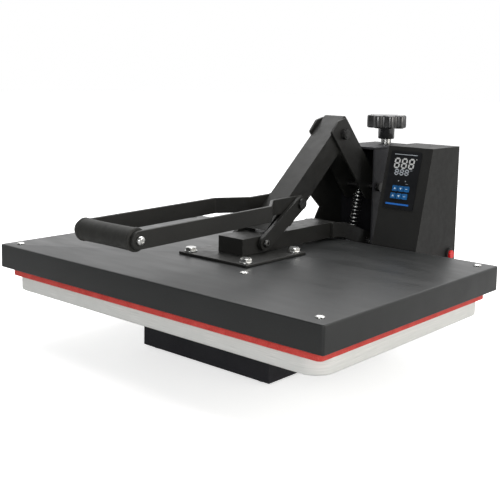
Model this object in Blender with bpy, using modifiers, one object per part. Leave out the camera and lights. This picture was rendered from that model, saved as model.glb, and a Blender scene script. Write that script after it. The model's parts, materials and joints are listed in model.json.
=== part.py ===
"""A clamshell heat press, closed: base, lower platen, hinged upper platen, toggle lever and control box.

Units are metres, +Z up, the operator stands on the -Y side. Heights are measured from the floor. Depths are
measured from the middle of the platens and shifted together by the frame_origin empty, so that the whole
press is centred on the world origin.
"""

import math

import bmesh
import bpy
from mathutils import Matrix, Vector

# ---- driving sizes -------------------------------------------------------------------------------------
GAP = 0.0003                 # between pieces that touch
RUNNING = 0.0003             # radial clearance of a pin in its hole

PLATEN_WIDTH = 0.610         # nominal working area
PLATEN_DEPTH = 0.406
PLATEN_CORNER = 0.030
SLAB_THICKNESS = 0.0214      # lower platen
PAD_THICKNESS = 0.0085       # silicone pad
PAD_OVERHANG = 0.002
HEATER_THICKNESS = 0.020     # upper platen casting
COVER_MARGIN = 0.015         # the cover stands out round the platens
COVER_WIDTH = PLATEN_WIDTH + 2 * COVER_MARGIN
COVER_DEPTH = PLATEN_DEPTH + 2 * COVER_MARGIN
COVER_HEIGHT = 0.0365
COVER_WALL = 0.002
COVER_CORNER = 0.004
COVER_RISE = 0.0212          # cover top above the upper platen
INSULATION_INSET = 0.006

FOOT_HEIGHT = 0.003
FOOT_RADIUS = 0.016
BASE_WIDTH = 0.260
BASE_HEIGHT = 0.0812
BASE_FRONT = -0.083
BASE_WALL = 0.003
BASE_TAIL = 0.004            # the base runs on behind the column
FOOT_INSET = 0.006

ARM_SIDE_CLEARANCE = 0.0004  # from the rocker's plates out to the arm's side plates
ARM_HEIGHT = 0.0254
ARM_WALL = 0.003
MOUNT_SIZE = 0.140
MOUNT_THICKNESS = 0.004
MOUNT_CENTRE = 0.0035
MOUNT_BOLT_SPACING = 0.113
MOUNT_BOLT_ACROSS = 0.016
MOUNT_BOLT_HEAD = 0.0065
MOUNT_WASHER_RADIUS = 0.0098
MOUNT_WASHER_THICKNESS = 0.0014
COVER_SCREW_INSET = 0.0225
COVER_SCREW_HEAD = 0.0060
ARM_PLATE_HALF = 0.0125      # half the width of the plates down to the hinge
ARM_PLATE_DROP = Vector((0.936, -0.352))
ARM_PLATE_KNEE = 0.092       # from the hinge to where the plates bend level
ARM_PLATE_TAIL = 0.022
GUSSET_THICKNESS = 0.003
GUSSET_CLEARANCE = 0.004     # from the path of the cover's rear edge

LEVER_WIDTH = 0.040
LEVER_DEPTH = 0.040
LEVER_WALL = 0.003
LEVER_TOP_OVERHANG = 0.027
LEVER_TOE_CLEARANCE = 0.006  # leaves room for the pressure adjustment
BAR_THICKNESS = 0.005        # every flat bar of the linkage
LINK_THICKNESS = 0.006
LINK_CLEARANCE = 0.0008
LINK_RADIUS = 0.0115
ROCKER_WIDTH = 0.046
ROCKER_THICKNESS = 0.004
ROCKER_CLEARANCE = 0.0006
ROCKER_NOSE = 0.0275         # beyond the lever's bolt
ROCKER_TAIL = 0.016          # behind the screw
HANDLE_DEPTH = 0.0245
HANDLE_SPREAD = 0.0545       # inner faces of the handle bars, from the middle
HANDLE_REACH = 0.261         # grip axis, in front of the platen's middle
HANDLE_RISE = 0.065          # grip axis above the cover
HANDLE_SLOPE = math.radians(1.08)
HANDLE_STEP_START = 0.318    # in front of the hinge, where the bars turn inwards
HANDLE_STEP_END = 0.273
HANDLE_OVERLAP = 0.010       # the bars run on behind the link's pins
HANDLE_NOSE = 0.020
GRIP_RADIUS = 0.016
GRIP_BOLT_RADIUS = 0.004
PIN_RADIUS = 0.006
LINK_PIN_RADIUS = 0.004
HINGE_PIN_RADIUS = 0.008

COLUMN_WALL = 0.003
COLUMN_CLEARANCE = 0.0045    # from the link's bars to the column's walls
COLUMN_DEPTH = 0.122
COLUMN_RISE = 0.148          # column top above the cover
CAP_THICKNESS = 0.004
SCREW_RADIUS = 0.006
KNOB_RADIUS = 0.0365
KNOB_HEIGHT = 0.025
KNOB_LOBES = 8
KNOB_NECK_RADIUS = 0.0155
KNOB_NECK_HEIGHT = 0.020
COLLAR_RADIUS = 0.0095
COLLAR_HEIGHT = 0.0085

BOX_LEFT = 0.088
BOX_WIDTH = 0.084
BOX_DEPTH = 0.130
BOX_RISE = 0.161
BOX_WALL = 0.0015
BOX_CLEARANCE = 0.012        # from the cover's rear edge to the box
PANEL_LEAN = 0.042           # the sloping front steps back this far
LABEL_THICKNESS = 0.0008
KEY_WIDTH = 0.0102
KEY_HEIGHT = 0.0098
KEY_PITCH = 0.0110
KEY_DEPTH = 0.0040
KEY_PROUD = 0.0009
SWITCH_RADIUS = 0.0085

# ---- heights, from the floor up ------------------------------------------------------------------------
BASE_BOTTOM = FOOT_HEIGHT + GAP
BASE_TOP = BASE_BOTTOM + BASE_HEIGHT
SLAB_BOTTOM = BASE_TOP + GAP
PAD_BOTTOM = SLAB_BOTTOM + SLAB_THICKNESS + GAP
HEATER_BOTTOM = PAD_BOTTOM + PAD_THICKNESS + GAP
COVER_TOP = HEATER_BOTTOM + HEATER_THICKNESS + COVER_RISE
COVER_UNDERSIDE = COVER_TOP - COVER_WALL

# ---- pivots of the linkage, (depth, height) ------------------------------------------------------------
HINGE_Y = COVER_DEPTH / 2 + 0.100
ARM_PIVOT = Vector((HINGE_Y, COVER_TOP - 0.018))
TOP_PIVOT = Vector((HINGE_Y - 0.089, COVER_TOP + 0.178))
LINK_TOP = Vector((HINGE_Y - 0.211, COVER_TOP + 0.072))
LINK_FOOT = Vector((HINGE_Y - 0.297, COVER_TOP + 0.019))
ROCKER_PIVOT = Vector((HINGE_Y - 0.002, COVER_TOP + 0.082))
SCREW_Y = HINGE_Y + 0.082
COLUMN_FRONT = HINGE_Y - 0.015
COLUMN_REAR = COLUMN_FRONT + COLUMN_DEPTH
BASE_REAR = COLUMN_REAR + BASE_TAIL
COLUMN_TOP = COVER_TOP + COLUMN_RISE
CAP_TOP = COLUMN_TOP + GAP + CAP_THICKNESS
COLLAR_BOTTOM = CAP_TOP + GAP
NECK_BOTTOM = COLLAR_BOTTOM + COLLAR_HEIGHT + GAP
KNOB_BOTTOM = NECK_BOTTOM + KNOB_NECK_HEIGHT
TAIL_HEIGHT = COVER_TOP + 0.084      # the rocker's cross bar
SPRING_PIN = ARM_PIVOT + Vector((-0.019, 0.009))
SPRING_PIN_RADIUS = 0.003
SPRING_RADIUS = 0.008
SPRING_WIRE = 0.0012
SPRING_TURNS = 12
SPRING_HOOK = 0.005          # between the coils and each pin

# ---- widths of the linkage's layers, from the middle outwards ------------------------------------------
LEVER_HALF = LEVER_WIDTH / 2
HANDLE_INNER = LEVER_HALF + GAP
HANDLE_OUTER = HANDLE_INNER + BAR_THICKNESS
ROCKER_INNER = LEVER_HALF + ROCKER_CLEARANCE
ROCKER_OUTER = ROCKER_INNER + ROCKER_THICKNESS
ARM_HALF = ROCKER_OUTER + ARM_SIDE_CLEARANCE
CHEEK_INNER = ARM_HALF + GAP
CHEEK_OUTER = CHEEK_INNER + BAR_THICKNESS
LINK_INNER = max(ARM_HALF, HANDLE_OUTER) + LINK_CLEARANCE
LINK_OUTER = LINK_INNER + LINK_THICKNESS
COLUMN_INNER = LINK_OUTER + COLUMN_CLEARANCE
COLUMN_OUTER = COLUMN_INNER + COLUMN_WALL

BOX_FRONT = COVER_DEPTH / 2 + BOX_CLEARANCE
BOX_TOP = COVER_TOP + BOX_RISE
PANEL_FOOT = COVER_TOP - 0.002
PANEL_SLOPE = math.atan2(PANEL_LEAN, BOX_TOP - PANEL_FOOT)
BOX_MIDDLE = BOX_LEFT + BOX_WIDTH / 2
BOX_RIGHT = BOX_LEFT + BOX_WIDTH
BOX_REAR = BOX_FRONT + BOX_DEPTH

GRIP_Y = -HANDLE_REACH
GRIP_HEIGHT = COVER_TOP + HANDLE_RISE
FRONT_LIMIT = GRIP_Y - GRIP_RADIUS
REAR_LIMIT = SCREW_Y + KNOB_RADIUS
CENTRING = -(FRONT_LIMIT + REAR_LIMIT) / 2

# ---- scene and materials -------------------------------------------------------------------------------
for old in list(bpy.data.objects):
    bpy.data.objects.remove(old, do_unlink=True)

press = bpy.data.collections.new("heat_press")
cutters = bpy.data.collections.new("cutters")
bpy.context.scene.collection.children.link(press)
bpy.context.scene.collection.children.link(cutters)


def material(name, colour, roughness, metallic=0.0):
    made = bpy.data.materials.new(name)
    made.use_nodes = True
    shader = made.node_tree.nodes["Principled BSDF"]
    shader.inputs["Base Color"].default_value = (*colour, 1.0)
    shader.inputs["Roughness"].default_value = roughness
    shader.inputs["Metallic"].default_value = metallic
    return made


COAT = (0.022, 0.022, 0.021)
BLACK_PLASTIC = (0.012, 0.012, 0.012)
ALUMINIUM = (0.62, 0.62, 0.60)
ZINC = (0.66, 0.67, 0.66)


# ---- making and placing objects ------------------------------------------------------------------------
def move_to(obj, collection):
    for held in list(obj.users_collection):
        held.objects.unlink(obj)
    collection.objects.link(obj)


def pivot(name, x=0.0, y=0.0, z=0.0, parent=None):
    empty = bpy.data.objects.new(name, None)
    empty.location = (x, y, z)
    press.objects.link(empty)
    if parent:
        empty.parent = parent
        bpy.context.view_layer.update()
        empty.matrix_parent_inverse = pressed_frame(parent).inverted()
    return empty


def pressed_frame(empty):
    """Where an empty stands in the press's own frame, before the centring shift."""
    return Matrix.Translation(-frame_origin.location) @ empty.matrix_world


def finish(obj, name, look, parent, smooth=False, bevel=0.0, segments=1, weld=False):
    """Names the object, gives it its own material and hangs it on its body's empty."""
    obj.name = name
    obj.data.name = name
    obj.data.materials.clear()
    obj.data.materials.append(material(name, *look))
    move_to(obj, press)
    bpy.context.view_layer.update()
    obj.parent = parent
    obj.matrix_parent_inverse = pressed_frame(parent).inverted()
    if bevel or weld:
        step = obj.modifiers.new("weld", "WELD")
        step.merge_threshold = 0.00001
    if bevel:
        edge = obj.modifiers.new("edges", "BEVEL")
        edge.width = bevel
        edge.segments = segments
        edge.limit_method = "ANGLE"
        edge.angle_limit = math.radians(50)
    if smooth and obj.type == "MESH":
        obj.data.shade_smooth()
        obj.data.set_sharp_from_angle(angle=math.radians(40))
    return obj


def block(low, high):
    """A box between two corners, with its scale applied."""
    bpy.ops.mesh.primitive_cube_add(size=1.0)
    obj = bpy.context.object
    low, high = Vector(low), Vector(high)
    obj.data.transform(Matrix.Diagonal((*(high - low), 1.0)))
    obj.location = (low + high) / 2
    return obj


def rod(radius, start, end, sides=24):
    """A cylinder between two points."""
    start, end = Vector(start), Vector(end)
    bpy.ops.mesh.primitive_cylinder_add(radius=radius, depth=(end - start).length, vertices=sides)
    obj = bpy.context.object
    obj.location = (start + end) / 2
    obj.rotation_euler = (end - start).to_track_quat("Z", "Y").to_euler()
    return obj


def cross_rod(radius, point, left, right, sides=24):
    return rod(radius, (left, point[0], point[1]), (right, point[0], point[1]), sides)


def outline_curve(outlines, thickness):
    """A flat 2D curve: the first outline is the edge, the others are holes."""
    curve = bpy.data.curves.new("outline", "CURVE")
    curve.dimensions = "2D"
    curve.fill_mode = "BOTH"
    curve.extrude = thickness / 2
    for points in outlines:
        spline = curve.splines.new("POLY")
        spline.points.add(len(points) - 1)
        for knot, (u, v) in zip(spline.points, points):
            knot.co = (u, v, 0.0, 1.0)
        spline.use_cyclic_u = True
    return bpy.data.objects.new("outline", curve)


def side_plate(outlines, left, right):
    """A plate in the depth-height plane, from one width to the other."""
    obj = outline_curve(outlines, right - left)
    obj.location = ((left + right) / 2, 0.0, 0.0)
    obj.rotation_euler = (math.pi / 2, 0.0, math.pi / 2)
    return obj


def level_plate(outlines, bottom, top):
    obj = outline_curve(outlines, top - bottom)
    obj.location = (0.0, 0.0, (bottom + top) / 2)
    return obj


def circle(centre, radius, sides=20):
    turn = 2 * math.pi / sides
    return [(centre[0] + radius * math.cos(i * turn), centre[1] + radius * math.sin(i * turn))
            for i in range(sides)]


def rectangle(u0, v0, u1, v1):
    return [(u0, v0), (u1, v0), (u1, v1), (u0, v1)]


def rounded(points, radius, steps=5):
    """The outline with each corner replaced by an arc; radius is one number or one per corner."""
    radii = radius if isinstance(radius, (list, tuple)) else [radius] * len(points)
    made = []
    for i, here in enumerate(points):
        corner = Vector(here)
        if radii[i] <= 0:
            made.append(tuple(corner))
            continue
        back = (Vector(points[i - 1]) - corner).normalized()
        ahead = (Vector(points[(i + 1) % len(points)]) - corner).normalized()
        half = back.angle(ahead) / 2
        centre = corner + (back + ahead).normalized() * (radii[i] / math.sin(half))
        first = corner + back * (radii[i] / math.tan(half)) - centre
        last = corner + ahead * (radii[i] / math.tan(half)) - centre
        sweep = math.atan2(first.cross(last), first.dot(last))
        for k in range(steps + 1):
            turned = first.copy()
            turned.rotate(Matrix.Rotation(sweep * k / steps, 2))
            made.append(tuple(centre + turned))
    return made


def slot_outline(start, end, radius, steps=10):
    """A bar with round ends, from one centre to the other."""
    start, end = Vector(start), Vector(end)
    heading = math.atan2(*(end - start).yx)
    made = []
    for centre, first in ((end, heading - math.pi / 2), (start, heading + math.pi / 2)):
        for k in range(steps + 1):
            angle = first + math.pi * k / steps
            made.append((centre.x + radius * math.cos(angle), centre.y + radius * math.sin(angle)))
    return made


def as_mesh(obj):
    """The object as a plain mesh object, its loose caps welded."""
    if not obj.users_collection:
        bpy.context.scene.collection.objects.link(obj)
    bpy.context.view_layer.update()
    graph = bpy.context.evaluated_depsgraph_get()
    mesh = bpy.data.meshes.new_from_object(obj.evaluated_get(graph))
    grid = bmesh.new()
    grid.from_mesh(mesh)
    bmesh.ops.remove_doubles(grid, verts=grid.verts, dist=0.000005)
    grid.to_mesh(mesh)
    grid.free()
    made = bpy.data.objects.new("mesh", mesh)
    made.matrix_world = obj.matrix_world
    bpy.context.scene.collection.objects.link(made)
    bpy.data.objects.remove(obj, do_unlink=True)
    return made


def boolean(obj, others, operation):
    """Cuts the others from the object, or joins them to it; they stay as hidden wire shapes."""
    for other in others:
        other.name = "cutter"
        move_to(other, cutters)
        other.parent = frame_origin
        other.hide_render = True
        other.display_type = "WIRE"
        step = obj.modifiers.new(operation.lower(), "BOOLEAN")
        step.operation = operation
        step.object = other
    return obj


def cut(obj, *others):
    return boolean(obj, others, "DIFFERENCE")


def join(obj, *others):
    return boolean(obj, others, "UNION")


def hexagon(across, point, start, end, axis="Z"):
    """A hexagonal head, given its width across flats."""
    radius = across / math.sqrt(3)
    if axis == "Z":
        return rod(radius, (*point, start), (*point, end), 6)
    return rod(radius, (start, *point), (end, *point), 6)


frame_origin = bpy.data.objects.new("frame_origin", None)
frame_origin.location = (0.0, CENTRING, 0.0)
press.objects.link(frame_origin)
bpy.context.view_layer.update()

arm_body = pivot("arm_pivot", 0.0, *ARM_PIVOT, frame_origin)
rocker_body = pivot("rocker_pivot", 0.0, *ROCKER_PIVOT, frame_origin)
lever_body = pivot("lever_pivot", 0.0, *TOP_PIVOT, rocker_body)
link_body = pivot("link_pivot", 0.0, *LINK_FOOT, arm_body)
knob_body = pivot("knob_axis", 0.0, SCREW_Y, KNOB_BOTTOM, frame_origin)


# ---- base ----------------------------------------------------------------------------------------------
def base_frame():
    half = BASE_WIDTH / 2
    obj = block((-half, BASE_FRONT, BASE_BOTTOM), (half, BASE_REAR, BASE_TOP))
    hollow = block((-half + BASE_WALL, BASE_FRONT + BASE_WALL, BASE_BOTTOM + BASE_WALL),
                   (half - BASE_WALL, BASE_REAR + 0.01, BASE_TOP - BASE_WALL))
    cut(obj, hollow)
    finish(obj, "base_frame", (COAT, 0.5), frame_origin)


def feet():
    inset = FOOT_RADIUS + FOOT_INSET
    for side, x in (("left", -BASE_WIDTH / 2 + inset), ("right", BASE_WIDTH / 2 - inset)):
        for end, y in (("front", BASE_FRONT + inset), ("rear", BASE_REAR - inset)):
            obj = rod(FOOT_RADIUS, (x, y, 0.0), (x, y, FOOT_HEIGHT))
            finish(obj, f"foot_{end}_{side}", (BLACK_PLASTIC, 0.8), frame_origin, smooth=True)


def lower_platen():
    half_w, half_d = PLATEN_WIDTH / 2, PLATEN_DEPTH / 2
    edge = rounded(rectangle(-half_w, -half_d, half_w, half_d), PLATEN_CORNER, 8)
    obj = level_plate([edge], SLAB_BOTTOM, SLAB_BOTTOM + SLAB_THICKNESS)
    finish(as_mesh(obj), "lower_platen", (ALUMINIUM, 0.35, 0.9), frame_origin, bevel=0.0015, segments=2)


def silicone_pad():
    half_w, half_d = PLATEN_WIDTH / 2 + PAD_OVERHANG, PLATEN_DEPTH / 2 + PAD_OVERHANG
    edge = rounded(rectangle(-half_w, -half_d, half_w, half_d), 0.006, 4)
    obj = level_plate([edge], PAD_BOTTOM, PAD_BOTTOM + PAD_THICKNESS)
    finish(as_mesh(obj), "silicone_pad", ((0.70, 0.055, 0.04), 0.6), frame_origin, bevel=0.001, segments=1)


def column():
    walls = [(-COLUMN_OUTER, COLUMN_FRONT), (-COLUMN_INNER, COLUMN_FRONT),
             (-COLUMN_INNER, COLUMN_REAR - COLUMN_WALL), (COLUMN_INNER, COLUMN_REAR - COLUMN_WALL),
             (COLUMN_INNER, COLUMN_FRONT), (COLUMN_OUTER, COLUMN_FRONT),
             (COLUMN_OUTER, COLUMN_REAR), (-COLUMN_OUTER, COLUMN_REAR)]
    obj = as_mesh(level_plate([walls], BASE_TOP + GAP, COLUMN_TOP))
    reach = COLUMN_OUTER + 0.01
    cut(obj,
        cross_rod(HINGE_PIN_RADIUS + GAP, ARM_PIVOT, -reach, reach),
        cross_rod(PIN_RADIUS + GAP, ROCKER_PIVOT, -reach, reach))
    finish(obj, "column", (COAT, 0.45), frame_origin)


def column_cap():
    edge = rounded(rectangle(-COLUMN_OUTER, COLUMN_FRONT, COLUMN_OUTER, COLUMN_REAR), 0.002, 2)
    hole = circle((0.0, SCREW_Y), SCREW_RADIUS + RUNNING, 24)
    obj = level_plate([edge, hole], COLUMN_TOP + GAP, CAP_TOP)
    finish(as_mesh(obj), "column_cap", (COAT, 0.45), frame_origin)


def column_pins():
    for name, point, radius, rim in (("arm_pivot_pin", ARM_PIVOT, HINGE_PIN_RADIUS, 0.004),
                                     ("rocker_pivot_pin", ROCKER_PIVOT, PIN_RADIUS, 0.002)):
        reach = COLUMN_OUTER + 0.006
        obj = cross_rod(radius, point, -reach, reach)
        head_start, head_end = COLUMN_OUTER + GAP, COLUMN_OUTER + 0.0075
        join(obj,
             cross_rod(radius + rim, point, head_start, head_end),
             cross_rod(radius + rim, point, -head_end, -head_start))
        finish(obj, name, (ZINC, 0.3, 0.9), frame_origin, smooth=True)


def lift_spring():
    """An extension spring from the rocker's pin down to a pin between the arm's side plates."""
    steps = SPRING_TURNS * 8
    top = ROCKER_PIVOT + Vector((0.0, -PIN_RADIUS - SPRING_HOOK))
    bottom = SPRING_PIN + Vector((0.0, SPRING_PIN_RADIUS + SPRING_HOOK))
    curve = bpy.data.curves.new("spring", "CURVE")
    curve.dimensions = "3D"
    curve.bevel_depth = SPRING_WIRE
    curve.bevel_resolution = 1
    curve.use_fill_caps = True
    spline = curve.splines.new("POLY")
    spline.points.add(steps)
    for i, knot in enumerate(spline.points):
        angle = 2 * math.pi * i / 8
        middle = bottom.lerp(top, i / steps)
        knot.co = (SPRING_RADIUS * math.sin(angle), middle.x + SPRING_RADIUS * math.cos(angle), middle.y, 1.0)
    finish(bpy.data.objects.new("spring", curve), "lift_spring", (ZINC, 0.35, 0.9), frame_origin)


def spring_pin():
    obj = cross_rod(SPRING_PIN_RADIUS, SPRING_PIN, -CHEEK_OUTER, CHEEK_OUTER, 16)
    finish(obj, "spring_pin", (ZINC, 0.3, 0.9), arm_body, smooth=True)


# ---- control box ---------------------------------------------------------------------------------------
def box_profile(inset, rear):
    """The side view of the box: upright below the cover, then leaning back."""
    lean = PANEL_SLOPE
    slant = inset / math.cos(lean)
    step = inset * math.tan(lean / 2)
    return [(BOX_FRONT + inset, BASE_TOP + GAP + inset), (BOX_FRONT + inset, PANEL_FOOT + step),
            (BOX_FRONT + PANEL_LEAN + slant - inset * math.tan(lean), BOX_TOP - inset),
            (rear, BOX_TOP - inset), (rear, BASE_TOP + GAP + inset)]


def panel_point(across, along, proud=0.0):
    """A point on the sloping panel: across from its middle, along from its foot, proud of its face."""
    return Vector((BOX_MIDDLE + across,
                   BOX_FRONT + along * math.sin(PANEL_SLOPE) - proud * math.cos(PANEL_SLOPE),
                   PANEL_FOOT + along * math.cos(PANEL_SLOPE) + proud * math.sin(PANEL_SLOPE)))


def on_panel(obj, across, along, proud):
    """Lays an object made flat, facing +Z, on the sloping panel."""
    obj.location = panel_point(across, along, proud)
    obj.rotation_euler = (math.pi / 2 - PANEL_SLOPE, 0.0, 0.0)
    return obj


def panel_tile(width, height, depth, corner):
    half_w, half_h = width / 2, height / 2
    return outline_curve([rounded(rectangle(-half_w, -half_h, half_w, half_h), corner, 3)], depth)


KEY_PLACES = [(row, place) for row in (1, 2) for place in (1, 2, 3)]
KEY_ROWS = {1: 0.0975, 2: 0.0850}
LABEL_CENTRE = 0.112
LABEL_SIZE = (0.058, 0.098)
LABEL_SHIFT = -0.0055


def key_across(row, place):
    return LABEL_SHIFT + (place - 2) * KEY_PITCH + (0.0010 if row == 1 else -0.0005)


def control_box():
    obj = as_mesh(side_plate([box_profile(0.0, BOX_REAR)], BOX_LEFT, BOX_RIGHT))
    hollow = as_mesh(side_plate([box_profile(BOX_WALL, BOX_REAR + 0.01)], BOX_LEFT + BOX_WALL,
                                BOX_RIGHT - BOX_WALL))
    holes = []
    for row, place in KEY_PLACES:
        hole = as_mesh(panel_tile(KEY_WIDTH - 0.001, KEY_HEIGHT - 0.001, 0.008, 0.0008))
        holes.append(on_panel(hole, key_across(row, place), KEY_ROWS[row], 0.0))
    switch = switch_place()
    bore = rod(SWITCH_RADIUS - 0.001 + GAP, (BOX_RIGHT - 0.01, *switch), (BOX_RIGHT + 0.01, *switch), 32)
    cut(obj, hollow, bore, *holes)
    finish(obj, "control_box", (COAT, 0.5), frame_origin)


def control_box_back():
    margin = BOX_WALL + GAP
    obj = block((BOX_LEFT + margin, BOX_REAR - 0.0020, BASE_TOP + GAP + margin),
                (BOX_RIGHT - margin, BOX_REAR - 0.0004, BOX_TOP - margin))
    inlet = inlet_place()
    cut(obj, block((inlet[0] - 0.0130, BOX_REAR - 0.02, inlet[1] - 0.0105),
                   (inlet[0] + 0.0130, BOX_REAR + 0.02, inlet[1] + 0.0105)))
    finish(obj, "control_box_back", (COAT, 0.5), frame_origin)


def panel_label():
    half_w, half_h = LABEL_SIZE[0] / 2, LABEL_SIZE[1] / 2
    outlines = [rounded(rectangle(-half_w, -half_h, half_w, half_h), 0.003, 4)]
    for row, place in KEY_PLACES:
        u = key_across(row, place) - LABEL_SHIFT
        v = KEY_ROWS[row] - LABEL_CENTRE
        reach_w, reach_h = KEY_WIDTH / 2 + GAP, KEY_HEIGHT / 2 + GAP
        outlines.append(rectangle(u - reach_w, v - reach_h, u + reach_w, v + reach_h))
    obj = outline_curve(outlines, LABEL_THICKNESS)
    on_panel(obj, LABEL_SHIFT, LABEL_CENTRE, GAP + LABEL_THICKNESS / 2)
    finish(as_mesh(obj), "panel_label", (BLACK_PLASTIC, 0.25), frame_origin)


def keys():
    """Each key is a cap over the label's hole with a narrower stem through the panel."""
    cap_depth = LABEL_THICKNESS + KEY_PROUD
    stem_depth = BOX_WALL + 0.003
    for row, place in KEY_PLACES:
        across, along = key_across(row, place), KEY_ROWS[row]
        cap = as_mesh(panel_tile(KEY_WIDTH - GAP, KEY_HEIGHT - GAP, cap_depth - KEY_PROUD / 2, 0.0012))
        on_panel(cap, across, along, GAP + KEY_PROUD / 2 + cap_depth / 2 + KEY_PROUD / 4)
        stem = as_mesh(panel_tile(KEY_WIDTH - 0.003, KEY_HEIGHT - 0.003, stem_depth, 0.0006))
        on_panel(stem, across, along, GAP + KEY_PROUD + 0.0002 - stem_depth / 2)
        join(cap, stem)
        finish(cap, f"key_{row}_{place}", ((0.02, 0.16, 0.42), 0.35), frame_origin)


def switch_place():
    return (BOX_FRONT + 0.108, COVER_TOP - 0.022)


def power_switch():
    y, z = switch_place()
    outer = BOX_RIGHT + GAP
    bezel = rod(SWITCH_RADIUS + 0.0025, (outer, y, z), (outer + 0.004, y, z), 32)
    cut(bezel, rod(SWITCH_RADIUS - 0.001, (outer - 0.01, y, z), (outer + 0.02, y, z), 32))
    finish(bezel, "switch_bezel", (BLACK_PLASTIC, 0.4), frame_origin, smooth=True)
    button = rod(SWITCH_RADIUS - 0.001 - GAP, (outer - 0.012, y, z), (outer + 0.0075, y, z), 32)
    finish(button, "power_button", ((0.62, 0.02, 0.02), 0.3), frame_origin, smooth=True)


def inlet_place():
    return (BOX_MIDDLE, BASE_TOP + 0.040)


def power_inlet():
    x, z = inlet_place()
    face = BOX_REAR - 0.0004 + GAP
    flange = block((x - 0.0160, face, z - 0.0135), (x + 0.0160, face + 0.0025, z + 0.0135))
    body = block((x - 0.0125, BOX_REAR - 0.022, z - 0.0100), (x + 0.0125, face + 0.001, z + 0.0100))
    socket = block((x - 0.0100, BOX_REAR - 0.015, z - 0.0075), (x + 0.0100, face + 0.01, z + 0.0075))
    cut(join(flange, body), socket)
    finish(flange, "power_inlet", (BLACK_PLASTIC, 0.4), frame_origin)


def circuit_board():
    """A board held behind the sloping panel."""
    obj = as_mesh(panel_tile(BOX_WIDTH - 0.020, 0.105, 0.0016, 0.001))
    on_panel(obj, 0.0, LABEL_CENTRE - 0.004, -0.012)
    finish(obj, "circuit_board", ((0.02, 0.16, 0.06), 0.5), frame_origin)


# ---- pressure adjustment -------------------------------------------------------------------------------
def pressure_knob():
    steps = KNOB_LOBES * 12
    edge = []
    for i in range(steps):
        angle = 2 * math.pi * i / steps
        wave = math.cos(KNOB_LOBES * angle)
        radius = KNOB_RADIUS - 0.0028 * (1 - wave) * (1 - 0.25 * wave)
        edge.append((radius * math.cos(angle), SCREW_Y + radius * math.sin(angle)))
    obj = as_mesh(level_plate([edge], KNOB_BOTTOM, KNOB_BOTTOM + KNOB_HEIGHT))
    neck = rod(KNOB_NECK_RADIUS, (0.0, SCREW_Y, NECK_BOTTOM), (0.0, SCREW_Y, KNOB_BOTTOM + 0.004), 32)
    bore = rod(SCREW_RADIUS + GAP, (0.0, SCREW_Y, NECK_BOTTOM - 0.01), (0.0, SCREW_Y, KNOB_BOTTOM + 0.008), 24)
    cut(join(obj, neck), bore)
    finish(obj, "pressure_knob", (BLACK_PLASTIC, 0.2), knob_body)


def pressure_screw():
    bottom = TAIL_HEIGHT - 0.022
    obj = rod(SCREW_RADIUS, (0.0, SCREW_Y, bottom), (0.0, SCREW_Y, KNOB_BOTTOM + 0.0077), 24)
    collar_top = COLLAR_BOTTOM + COLLAR_HEIGHT
    join(obj, rod(COLLAR_RADIUS, (0.0, SCREW_Y, COLLAR_BOTTOM), (0.0, SCREW_Y, collar_top), 24))
    finish(obj, "pressure_screw", (ZINC, 0.25, 0.9), knob_body, smooth=True)


# ---- rocker --------------------------------------------------------------------------------------------
def rocker_plates():
    """Each plate runs from the top pivot down to its pin in the column, then back to the cross bar."""
    fall = (ROCKER_PIVOT - TOP_PIVOT).normalized()
    aside = Vector((-fall.y, fall.x))
    half = ROCKER_WIDTH / 2
    nose = TOP_PIVOT - fall * ROCKER_NOSE
    outline = [nose + aside * half + fall * 0.011, nose + aside * 0.003, nose - aside * half + fall * 0.002,
               ROCKER_PIVOT - aside * half + fall * 0.012,
               Vector((SCREW_Y + ROCKER_TAIL, TAIL_HEIGHT - 0.013)),
               Vector((SCREW_Y + ROCKER_TAIL, TAIL_HEIGHT + 0.015)),
               ROCKER_PIVOT + aside * half]
    corners = [0.006, 0.005, 0.003, 0.012, 0.004, 0.004, 0.010]
    edge = rounded([tuple(p) for p in outline], corners, 4)
    bolt_holes = [circle(TOP_PIVOT, PIN_RADIUS + RUNNING), circle(ROCKER_PIVOT, PIN_RADIUS + RUNNING)]
    for side, left, right in (("left", -ROCKER_OUTER, -ROCKER_INNER), ("right", ROCKER_INNER, ROCKER_OUTER)):
        obj = side_plate([edge, *bolt_holes], left, right)
        finish(as_mesh(obj), f"rocker_plate_{side}", (COAT, 0.45), rocker_body, bevel=0.0006)


def rocker_crossbar():
    half = ROCKER_INNER - GAP
    obj = block((-half, SCREW_Y - 0.012, TAIL_HEIGHT - 0.010), (half, SCREW_Y + 0.012, TAIL_HEIGHT + 0.010))
    low, high = TAIL_HEIGHT - 0.02, TAIL_HEIGHT + 0.02
    cut(obj, rod(SCREW_RADIUS + 0.0008, (0.0, SCREW_Y, low), (0.0, SCREW_Y, high), 24))
    finish(obj, "rocker_crossbar", (ZINC, 0.4, 0.9), rocker_body)


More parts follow.
